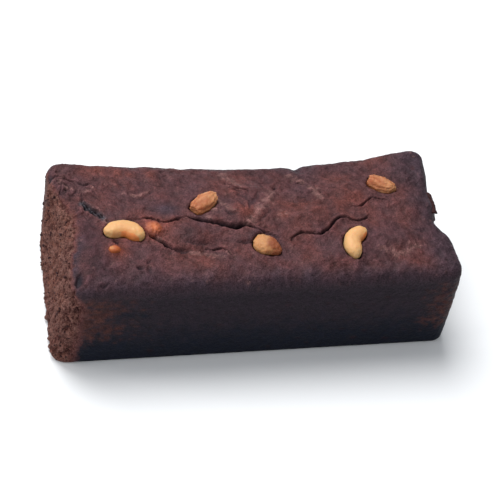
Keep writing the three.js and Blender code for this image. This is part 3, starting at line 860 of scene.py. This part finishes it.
cake_mesh.vertices.foreach_set("co", (skin * MM).ravel())
cake_mesh.update()
uneven = fractal(plain, 9)
masks = {
    "crumb": crumb,
    "edge": baked_edge_and_sheen,
    # painted shade, deeper in cracks, seats and the mesh's pores
    "deep": sunk / FULL_DEPTH,
    "pore": pores / FULL_PORE,
    "wall": below_rim,
    # darker towards the walls' foot, which is painted shade, and the black smears
    "low": np.maximum(1 - smoothstep(z + 4 * ragged, 10, 40), smear),
    "scuff": scuff,
    "scrape": 0.5 + 1.3 * scrapes,
    # partly baked darker, partly painted shade along the top's edges
    "dusk": dusk_at(x, y, uneven),
    "umber": umber_at(x, y, uneven),
    # the strands' grey blue is a painted highlight
    "strands": strands_at(plain[:, :2]) * top_share,
    # lighter where the skin tore: partly crumb, partly a painted highlight
    "torn": torn * top_share,
    # painted light and shade: lighter where the fine relief stands up, darker in its hollows
    "relief_shade": 0.5 + 0.5 * relief_shade * top_share,
    "stain": stain_at(x, y) * top_share,
}
for mask_name, values in masks.items():
    set_mask(cake_mesh, mask_name, values)
cake = add_object("cake_skin", cake_mesh)
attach(cake, "root")
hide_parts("cake")
print("masks:", ", ".join(masks))

# %% [markdown]
# ## Fine nuts and fruit
#
# Each topping is a ball of small squares, made from a cube so that it has no pinched poles, and flattened a
# little above and below, as nuts are. Its own rule shapes it, and a noise makes it uneven. A mask called
# toast says how brown each point roasted: a cashew in the wall of its hollow, an almond in its grooves, a
# broken half on its torn side, and a fruit where batter covers it.

# %% Shape the toppings
NUT_SQUARES = (36, 36, 36)
FLATNESS = 2.4  # 2 is a true ball, more is boxier
NUT_DETAIL = {  # size and height of each kind's unevenness
    kidney: [(5, 0.25), (1.6, 0.06)],
    kernel: [(3.2, 0.35), (1.1, 0.16)],
    plump: [(2.2, 0.25), (1.1, 0.12)],
    chip: [(2.5, 0.2), (1, 0.06)],
    half: [(4.5, 0.35), (1.2, 0.12)],
}


def fine_ball():
    """A ball of radius 1 in squares, without poles and flattened above and below."""
    bm = cut_cube(NUT_SQUARES)
    mesh = bpy.data.meshes.new("topping")
    bm.to_mesh(mesh)
    bm.free()
    spread = np.tan(verts_of(mesh) * math.pi / 4)
    ball = spread / np.linalg.norm(spread, axis=1)[:, None]
    full = np.hypot(ball[:, 0], ball[:, 1]) ** FLATNESS + abs(ball[:, 2]) ** FLATNESS
    return mesh, ball * full[:, None] ** (-1 / FLATNESS)


def kidney_toast(a, b, c, uneven):
    """A cashew roasted in the wall of its hollow, and a little on its sides."""
    slim = np.sqrt(np.maximum(1 - a * a, 0.05))
    inner, under = -b / slim, -c / slim
    at_end = 0.3 * smoothstep(a, 0.2, 0.9)
    in_hollow = smoothstep(inner + 0.35 * under + at_end + 0.12 * uneven, 0.42, 0.72)
    in_hollow = in_hollow * smoothstep(a + 0.1 * uneven, -0.62, -0.2)
    gold = 0.16 * (1 - smoothstep(np.hypot(a, b), 0.7, 0.92)) + 0.3 * smoothstep(inner, 0.3, 0.9)
    return np.maximum(in_hollow, gold + 0.1 * uneven)


def toast_of(kind, ball, uneven):
    """0 where a topping stayed pale, 1 where it roasted brown."""
    a, b, c = ball.T
    if kind is kidney:
        return kidney_toast(a, b, c, uneven)
    if kind is kernel:
        return 0.64 - 0.56 * smoothstep(a, -0.3, 0.6) - 0.18 * ribs(ball) + 0.3 * uneven
    if kind is half:
        return smoothstep(a + 0.3 * b + 0.6 * uneven, -0.35, 0.5)
    if kind is chip:
        return smoothstep(a + 0.35 * uneven + smoothstep(np.hypot(a, b), 0.7, 1), -0.95, -0.1)
    return smoothstep(np.hypot(a + 0.04, b + 0.12) + 0.2 * uneven, -0.1, 1.02)


def make_topping(name, kind, size, seat):
    x, y, turn, up = seat
    mesh, ball = fine_ball()
    local = kind(ball, *size)
    thick, detail = size[2], NUT_DETAIL[kind]
    roughness = [high * fractal(local + 10 * len(name), lump) for lump, high in detail]
    local = local * (1 + 2 / thick * sum(roughness)[:, None])
    mesh.vertices.foreach_set("co", (local * MM).ravel())
    mesh.update()
    set_mask(mesh, "toast", toast_of(kind, ball, roughness[0] / detail[0][1]))
    made = add_object(name + "_fine", mesh)
    made.location = Vector((x, y, float(crust_height(x, y)) + up)) * MM
    made.rotation_euler.z = math.radians(turn)
    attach(made, "root")
    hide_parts(name)
    return made


toppings = {name: make_topping(name, *topping) for name, topping in TOPPINGS.items()}
print("fine toppings:", len(toppings))

# %% [markdown]
# ## Torn crust and loose crumbs
#
# At the right end the crust tore when the loaf left its tin, and thin flaps of it stand out. Each flap is a
# flattened box that follows the wall, with a ragged outer edge drawn through a few points, and it curls down
# towards that edge. Crumbs stick wherever the loaf broke: tiny lumps, all in one mesh, since hundreds of
# separate objects would be slow to handle.

# %% Flaps of torn crust
FLAPS = [  # height, how far it curls down, and its edge: places along Y and how far it stands out there
    (60, 1.4, [(15.8, -0.7), (14.5, 1.3), (9.5, 0.8), (1.6, 0.3), (-0.7, 1.7), (-1.1, -1.8)]),
    (56, 1.2, [(6, -0.6), (4, 0.6), (1, 0.2), (-3, 1.1), (-4, 0), (-5, -1)]),
]
FLAP = {"thick": 1.6, "thin": 0.3, "rooted": 6, "ragged": 0.2, "wavy": 0.35}
FLAP_SQUARES = (12, 48, 3)


def flap(z, curl, edge):
    """One flap's points and faces. It stands out of the right wall."""
    cube, faces = points_and_faces(FLAP_SQUARES)
    a, b, c = cube.T
    edge_y, edge_out = np.array(edge[::-1], float).T
    y = lerp(edge_y[0], edge_y[-1], (b + 1) / 2)
    reach = np.interp(y, edge_y, edge_out) + FLAP["ragged"] * fractal(np.stack([y, 0 * y, 0 * y + z], 1), 1.5)
    out = (a + 1) / 2
    from_wall = lerp(-FLAP["rooted"], reach, out)
    place = np.stack([from_wall, y, 0 * y + z], 1)
    thick = FLAP["thick"] / 2 * lerp(1, FLAP["thin"], out**2)
    up = -curl * smoothstep(from_wall, -2, 4) + FLAP["wavy"] * fractal(place + 9, 3)
    return np.stack([LENGTH / 2 + right_wall(y, z / RIM_HEIGHT) + from_wall, y, z + c * thick + up], 1), faces


def joined(name, parts):
    """One mesh object from several lists of points and faces."""
    points, faces, start = [], [], 0
    for part_points, part_faces in parts:
        points.append(part_points)
        faces += [[start + i for i in f] for f in part_faces]
        start += len(part_points)
    mesh = bpy.data.meshes.new(name)
    mesh.from_pydata((np.vstack(points) * MM).tolist(), [], faces)
    mesh.update()
    return add_object(name, mesh)


torn_crust = joined("torn_crust", [flap(*f) for f in FLAPS])
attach(torn_crust, "root")
print(f"{len(FLAPS)} flaps in {len(torn_crust.data.polygons)} faces")

# %% Crumbs that stuck to the loaf
CRUMBS = {"count": 260, "middle": 0.42, "spread": 0.4, "sunk": 0.35}
CRUMB_SQUARES = (3, 3, 3)
STRAY = {"wall": 0.006, "top": 0.004}  # how seldom they stick away from the rough end
CRUMBS_FROM = 1.2  # no crumb sticks lower than this, so the loaf stands flat


def crumbs_on(points, normals, share, count):
    """Little uneven lumps, each half sunk into a point of the skin."""
    cube, faces = points_and_faces(CRUMB_SQUARES)
    ball = cube / np.linalg.norm(cube, axis=1)[:, None]
    made = []
    for at in RANDOM.choice(len(points), count, p=share / share.sum()):
        size = RANDOM.lognormal(math.log(CRUMBS["middle"]), CRUMBS["spread"])
        stretch = RANDOM.uniform(0.6, 1.3, 3)
        lumpy = ball * (1 + RANDOM.uniform(-0.22, 0.22, (len(ball), 1))) * stretch * size
        made.append((points[at] + normals[at] * size * (0.5 - CRUMBS["sunk"]) + lumpy, faces))
    return made


places = crumb**3 + STRAY["wall"] * wall + STRAY["top"] * top_share * (sunk < 0.05)
places = places * (z > CRUMBS_FROM)
crumbs = joined("crumbs", crumbs_on(skin, normals_of(cake_mesh, skin * MM), places, CRUMBS["count"]))
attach(crumbs, "root")
print(f"{CRUMBS['count']} crumbs in {len(crumbs.data.polygons)} faces")

# %% [markdown]
# ## Values that flow through a material
#
# A material is a graph of nodes, and most of its nodes only add, multiply or blend what others put out. A
# signal stands for one output. It can be added and multiplied like a number, and each such step makes the
# node for it, so a material's recipe reads as a formula.

# %% Signals
def arithmetic(operation, swapped=False):
    """A way to join two signals, or a signal and a number, by one maths node."""

    def joining(self, other):
        a, b = (other, self) if swapped else (self, other)
        return self.node("ShaderNodeMath", {0: a, 1: b}, operation=operation)

    return joining


class Signal:
    """One output in a node graph."""

    def __init__(self, tree, socket):
        self.tree, self.socket = tree, socket

    def to(self, socket):
        self.tree.links.new(self.socket, socket)

    def node(self, kind, inputs, output=0, **settings):
        """An output of a new node in the same graph."""
        return Signal(self.tree, add_node(self.tree, kind, inputs, **settings).outputs[output])

    def scaled(self, factor):
        """A colour or a direction made larger or smaller."""
        return self.node("ShaderNodeVectorMath", {0: self, "Scale": factor}, operation="SCALE")

    def ramp(self, low, high):
        """0 below low and 1 above high, softly."""
        inputs = {"Value": self, "From Min": low, "From Max": high}
        return self.node("ShaderNodeMapRange", inputs, "Result", interpolation_type="SMOOTHSTEP")

    # With these names, Python's own signs + * - / make the nodes.
    __add__ = __radd__ = arithmetic("ADD")
    __mul__ = __rmul__ = arithmetic("MULTIPLY")
    __sub__, __rsub__ = arithmetic("SUBTRACT"), arithmetic("SUBTRACT", swapped=True)
    __rtruediv__ = arithmetic("DIVIDE", swapped=True)


def add_node(tree, kind, inputs=None, **settings):
    """A new node with its settings, and with each named input linked or set."""
    made = tree.nodes.new(kind)
    for name, value in settings.items():
        setattr(made, name, value)
    for name, value in (inputs or {}).items():
        if isinstance(value, Signal):
            value.to(made.inputs[name])
        else:
            made.inputs[name].default_value = value
    return made


def signals_of(tree, *node, **settings):
    """All that a new node puts out, by name."""
    return {socket.name: Signal(tree, socket) for socket in add_node(tree, *node, **settings).outputs}


# %% [markdown]
# ## Shared effects
#
# Baking leaves the same marks on everything it touches: blotches of lighter and darker brown, and fine
# pores. Each effect is a node group with named inputs, made once and put in every material with its own
# values, so a change to it changes the whole cake. They measure in millimetres, by a group that turns
# object coordinates into them.

# %% Node groups for blotches and pores
PORE_BEND = 1.8  # how far the noise bends a pore's edge, in its own size


def new_group(name, inputs, outputs):
    """An empty node group, its inputs as signals, and the sockets of its outputs."""
    group = bpy.data.node_groups.new(name, "ShaderNodeTree")
    for in_out, sockets in (("INPUT", inputs), ("OUTPUT", outputs)):
        for socket in sockets:
            kind = "NodeSocketVector" if socket == "Place" else "NodeSocketFloat"
            group.interface.new_socket(socket, in_out=in_out, socket_type=kind)
    given = group.nodes.new("NodeGroupInput").outputs
    return group, [Signal(group, given[s]) for s in inputs], group.nodes.new("NodeGroupOutput").inputs


def make_millimetres():
    group, _, result = new_group("Place in millimetres", [], ["Place"])
    signals_of(group, "ShaderNodeTexCoord")["Object"].scaled(1 / MM).to(result["Place"])
    return group


def make_blotches():
    """Cloudy patches of two sizes."""
    group, (place, size, soft), result = new_group("Baked blotches", ["Place", "Size", "Soft"], ["Blotches"])
    cloud = place.node("ShaderNodeTexNoise", {"Vector": place, "Scale": 1 / size, "Detail": 5.0})
    cloud.ramp(0.5 - 0.4 * soft, 0.5 + 0.4 * soft).to(result["Blotches"])
    return group


def make_pores():
    """Small torn bubbles: a mask that is 1 in a pore, and a height that drops there."""
    group, (place, size, share), result = new_group(
        "Fine pores", ["Place", "Size", "Share"], ["Pores", "Height"]
    )
    scale = 1 / size
    noise_inputs = {"Vector": place, "Scale": scale, "Detail": 3.0}
    swung = place.node("ShaderNodeTexNoise", noise_inputs, "Color").scaled(size)
    bend_inputs = {0: swung, 1: (PORE_BEND,) * 3, 2: place}
    bent = place.node("ShaderNodeVectorMath", bend_inputs, operation="MULTIPLY_ADD")
    cells = signals_of(group, "ShaderNodeTexVoronoi", {"Vector": bent, "Scale": scale})
    own = place.node("ShaderNodeSeparateColor", {"Color": cells["Color"]})
    pores = (share * (own + 0.25) - cells["Distance"]).ramp(-0.08, 0.16)
    pores.to(result["Pores"])
    (1.0 - pores).to(result["Height"])
    return group


MILLIMETRES, BLOTCHES, PORES = make_millimetres(), make_blotches(), make_pores()
print("shared effects:", ", ".join(group.name for group in (MILLIMETRES, BLOTCHES, PORES)))


# %% Helpers for the materials
def put(tree, group, **inputs):
    """A shared effect placed in a material."""
    return signals_of(tree, "ShaderNodeGroup", inputs, node_tree=group)


def mask_in(tree, name):
    return signals_of(tree, "ShaderNodeAttribute", attribute_name=name)["Fac"]


def mixed(share, a, b):
    """Colour a where share is 0, colour b where it is 1."""
    return share.node("ShaderNodeMix", {0: share, 6: a, 7: b}, 2, data_type="RGBA")


def blended(share, a, b):
    """The same for plain values."""
    return share.node("ShaderNodeMix", {0: share, 2: a, 3: b})


def layered(colour, layers):
    """Lays one colour after another over the first, each by its own share."""
    for share, over in layers:
        colour = mixed(share, colour, over)
    return colour


def brown(red, green, blue):
    return (red, green, blue, 1.0)


def new_material(name, **uniform):
    made = bpy.data.materials.new(name)
    made.use_nodes = True
    shader = made.node_tree.nodes["Principled BSDF"]
    for socket, value in uniform.items():
        shader.inputs[socket.replace("_", " ")].default_value = value
    return made, made.node_tree, shader


def finish_surface(shader, colour, rough, height, strength, distance):
    """Gives the shader its colour and roughness, and the fine relief that the mesh is too coarse for."""
    inputs = {"Height": height, "Strength": strength, "Distance": distance * MM}
    colour.to(shader.inputs["Base Color"])
    rough.to(shader.inputs["Roughness"])
    height.node("ShaderNodeBump", inputs).to(shader.inputs["Normal"])


# %% [markdown]
# ## Crust and crumb
#
# A dark fruit cake's crust is a matte skin of dark purple brown, redder in patches and black in its cracks,
# where the black is painted shade. Light is painted on the raised parts of its fine relief and shade in its
# hollows, and its edges are painted a dull blue black, partly baked darker and partly painted shade. The
# tin's walls are darker still, partly baked and partly painted shade, with a bluish cast that is a painted
# reflection and more painted shade towards their foot, and are scuffed red brown at their ends. Under the
# skin the crumb is lighter and warmer, rough, and full of pores, painted dark as shade. One material holds
# all of it and lets the masks choose, so the torn edge between crust and crumb stays as ragged as the mesh.

# %% The crust's colours
LOAF_BLOTCHES = [(26.0, 0.5), (11.0, 0.5), (3.6, 0.7), (1.1, 0.7), (0.5, 0.6)]  # size and softness


def crust_colour(on, broad, patch, shade):
    """Purple brown to red brown, with duller patches, red stains, and the tin's walls dark partly from baking
    and partly as painted shade.
    """
    # The crust's colour is then scaled by the fine relief's height: painted light on its raised parts,
    # painted shade in its hollows.
    crust = layered(
        mixed(broad, brown(0.072, 0.030, 0.034), brown(0.101, 0.032, 0.0275)),
        [
            (patch * 0.5, brown(0.048, 0.027, 0.031)),
            (on["umber"] * 0.72, brown(0.034, 0.0160, 0.0215)),
            # a dull blue black along the top's edges and spots, partly baked darker and partly painted shade
            (on["dusk"] * 0.85, brown(0.036, 0.0242, 0.0330)),
            (on["stain"] * 0.8, brown(0.178, 0.045, 0.029)),
            # lighter on torn spots: partly crumb, partly a painted highlight
            (on["torn"] * 0.6, brown(0.180, 0.090, 0.082)),
        ],
    ).scaled(on["relief_shade"] * 1.1 + 0.45)
    # The walls are darker than the crust, partly baked darker and partly painted shade; their bluish cast is
    # a painted reflection, and painted shade deepens towards their foot.
    wall = mixed(on["low"], brown(0.0170, 0.0113, 0.0168), brown(0.0050, 0.0066, 0.0135))
    wall = mixed(on["scuff"], wall, brown(0.062, 0.022, 0.018))
    return mixed(on["wall"], crust, wall).scaled(shade)


def crumb_colour(on, broad, patch, small, tiny, pores):
    """Warm brown, redder in patches, with lighter scrapes and grains, pores darkened as painted shade, and a
    greyish strip where skin stayed.
    """
    return layered(
        mixed(small, brown(0.070, 0.023, 0.019), brown(0.165, 0.061, 0.040)),
        [
            (patch * 0.6, brown(0.100, 0.028, 0.021)),
            (broad * 0.4, brown(0.105, 0.054, 0.059)),
            (on["scrape"] * 0.6, brown(0.158, 0.082, 0.069)),
            (tiny * 0.42, brown(0.240, 0.122, 0.092)),
            # painted shade in the crumb's pores
            (pores * 0.7, brown(0.044, 0.012, 0.011)),
            # greyish where the skin stayed, partly a painted sheen
            (on["edge"] * 0.75, brown(0.125, 0.082, 0.076)),
        ],
    )


# %% The loaf's material
def make_loaf_material(name):
    made, tree, shader = new_material(name, Specular_IOR_Level=0.09)
    on = {mask_name: mask_in(tree, mask_name) for mask_name in masks}
    place = put(tree, MILLIMETRES)["Place"]
    broad, patch, small, tiny, grit = (
        put(tree, BLOTCHES, Place=place, Size=size, Soft=soft)["Blotches"] for size, soft in LOAF_BLOTCHES
    )
    pores = put(tree, PORES, Place=place, Size=1.8, Share=0.45)
    specks = put(tree, PORES, Place=place, Size=1.1, Share=0.3)

    # The specks darken the crust's tiny pits, which is painted shade; the rest is tone that differs at
    # random.
    shade = small * 0.46 + tiny * 0.4 + 0.62 - specks["Pores"] * 0.3
    crust = crust_colour(on, broad, patch, shade)
    crumb = crumb_colour(on, broad, patch, small, tiny, pores["Pores"])
    border = on["crumb"] * (1.0 - on["crumb"])
    colour = layered(
        mixed(on["crumb"], crust, crumb),
        [
            (border * 1.4, brown(0.118, 0.034, 0.031)),
            # painted shade in the mesh's pores
            (on["pore"] * 0.62, brown(0.040, 0.012, 0.011)),
            # painted highlight: grey blue on the strands across the widest crack
            (on["strands"] * 0.85, brown(0.062, 0.060, 0.070)),
            # painted shade deep in cracks and seats, bluish black
            (on["deep"] * 0.85, brown(0.0145, 0.0140, 0.0200)),
        ],
    ).scaled(grit * 1.1 + 0.45)

    rough = blended(on["crumb"], 0.5, 0.9) + small * 0.12
    skin_height = specks["Height"] * 0.15 + small * 1.1 + tiny * 0.2 + grit * 0.15
    crumb_height = pores["Height"] + tiny * 0.9 + grit * 0.4
    height = blended(on["crumb"], skin_height, crumb_height)
    finish_surface(shader, colour, rough, height, strength=0.8, distance=0.6)
    return made


loaf_material = make_loaf_material("Baked crust and crumb")
for piece in (cake, torn_crust, crumbs):
    piece.data.materials.append(loaf_material)
print("loaf's nodes:", len(loaf_material.node_tree.nodes))

# %% [markdown]
# ## Roasted nuts and candied fruit
#
# A roasted nut is pale gold with a soft sheen, and the toast mask takes it to orange brown. Candied fruit
# is redder, with dark batter over its edges. Both use the shared blotches, finer than on the crust. Light
# goes a few millimetres into them and comes out warmer, which keeps their shaded sides from turning grey.

# %% The toppings' materials
INSIDE_GLOW = {
    "Subsurface_Weight": 0.35,
    "Subsurface_Scale": 4 * MM,
    "Subsurface_Radius": (1.0, 0.55, 0.3),
}
LOOKS = {  # pale, toasted and spot colour, roughness, size of the blotches, specular level
    "Roasted nut": ((0.57, 0.343, 0.148), (0.66, 0.200, 0.055), (0.50, 0.23, 0.075), 0.45, 4.0, 0.3),
    "Toasted almond": ((0.47, 0.212, 0.095), (0.29, 0.078, 0.028), (0.22, 0.062, 0.027), 0.55, 3.0, 0.25),
    "Broken nut": ((0.44, 0.21, 0.086), (0.22, 0.060, 0.024), (0.32, 0.12, 0.042), 0.55, 2.6, 0.25),
    "Candied fruit": ((0.49, 0.131, 0.035), (0.160, 0.040, 0.029), (0.26, 0.056, 0.024), 0.45, 1.6, 0.3),
    "Nut in syrup": ((0.46, 0.22, 0.09), (0.34, 0.087, 0.028), (0.36, 0.11, 0.032), 0.5, 2.0, 0.2),
}
SLOTS = {  # each topping's slot in the record, and its look
    "cashew": ("nut", "Roasted nut"),
    "cashew_right": ("nut", "Roasted nut"),
    "nut_half": ("nut", "Broken nut"),
    "almond_piece": ("toasted_nut", "Toasted almond"),
    "almond_right": ("toasted_nut", "Toasted almond"),
    "fruit_lump": ("fruit", "Candied fruit"),
    "nut_bit": ("fruit", "Nut in syrup"),
}


def make_topping_material(name, pale, toasted, spot, rough, grain, gloss):
    made, tree, shader = new_material(name, Specular_IOR_Level=gloss, **INSIDE_GLOW)
    place = put(tree, MILLIMETRES)["Place"]
    patches = put(tree, BLOTCHES, Place=place, Size=grain, Soft=0.9)["Blotches"]
    fine = put(tree, BLOTCHES, Place=place, Size=grain / 5, Soft=0.8)["Blotches"]
    colour = mixed(mask_in(tree, "toast"), brown(*pale), brown(*toasted))
    colour = mixed(patches * fine * 0.5, colour, brown(*spot))
    finish_surface(shader, colour, patches * 0.12 + rough, fine, strength=0.25, distance=0.3)
    return made


topping_materials = {name: make_topping_material(name, *look) for name, look in LOOKS.items()}
for name, (slot_name, look) in SLOTS.items():
    toppings[name].data.materials.append(topping_materials[look])
print("toppings' materials:", ", ".join(topping_materials))

# %% [markdown]
# ## Floor, light and camera
#
# The cake stands on a plain pale floor. A wide soft lamp overhead, a little behind the loaf, lights the top
# and leaves the front wall dark. A weak one from the left lifts the rough end, and a weaker one in front
# keeps that wall from going black. The camera is far away with a long lens, looks down steeply and is
# rolled a little.

# %% Floor
FLOOR_REACH = 4.0


def make_floor():
    mesh = bpy.data.meshes.new("floor")
    corners = [(x * FLOOR_REACH, y * FLOOR_REACH, 0) for x, y in ((-1, -1), (1, -1), (1, 1), (-1, 1))]
    mesh.from_pydata(corners, [], [(0, 1, 2, 3)])
    made = add_object("floor", mesh, smooth=False)
    material, _, shader = new_material("Pale floor", Base_Color=(0.86, 0.87, 0.88, 1.0), Roughness=0.7)
    mesh.materials.append(material)


make_floor()

# %% Light
LAMPS = {  # place and size in metres, power in watts
    "overhead": {"at": (-0.3, 0.8, 1.45), "size": 1.3, "power": 36},
    "left": {"at": (-1.4, 0.1, 0.7), "size": 0.9, "power": 10},
    "front": {"at": (-0.5, -1.3, 0.9), "size": 1.2, "power": 7},
}
AMBIENT = {"Color": (0.88, 0.93, 1.0, 1.0), "Strength": 0.28}


def make_lamp(name, at, size, power):
    lamp = bpy.data.lights.new(name, "AREA")
    lamp.shape, lamp.size, lamp.energy = "DISK", size, power
    made = bpy.data.objects.new(name, lamp)
    bpy.context.collection.objects.link(made)
    made.location = at
    made.rotation_euler = (-Vector(at)).to_track_quat("-Z", "Y").to_euler()


for name, lamp in LAMPS.items():
    make_lamp(name, **lamp)
world = bpy.data.worlds.new("Soft room")
world.use_nodes = True
for socket, value in AMBIENT.items():
    world.node_tree.nodes["Background"].inputs[socket].default_value = value
bpy.context.scene.world = world
bpy.context.scene.view_settings.view_transform = "Standard"
print("lamps:", ", ".join(LAMPS))

# %% Camera
VIEW = {"azimuth": -27.0, "elevation": 47.0, "roll": 17.6}  # degrees
DISTANCE, LENS = 1.4, 166.5  # metres, and millimetres on a 36 mm sensor
AIM = (0.0094, 0.0215)  # how far right of the origin and above it the camera looks, in metres


def camera_axes(azimuth, elevation, roll):
    """The camera's right, up and backward directions."""
    a, e, turn = (math.radians(v) for v in (azimuth, elevation, roll))
    back = Vector((math.sin(a) * math.cos(e), -math.cos(a) * math.cos(e), math.sin(e)))
    right = Vector((math.cos(a), math.sin(a), 0))
    up = back.cross(right)
    return math.cos(turn) * right + math.sin(turn) * up, math.cos(turn) * up - math.sin(turn) * right, back


right, up, back = camera_axes(**VIEW)
place = DISTANCE * back
back = (place - AIM[0] * right - AIM[1] * up).normalized()
right = (right - right.dot(back) * back).normalized()
facing = Matrix((right, back.cross(right), back)).transposed()
camera = bpy.data.objects.new("camera", bpy.data.cameras.new("camera"))
bpy.context.collection.objects.link(camera)
camera.data.lens = LENS
camera.matrix_world = Matrix.Translation(place) @ facing.to_4x4()
bpy.context.scene.camera = camera
print(f"the camera is {DISTANCE} m away")
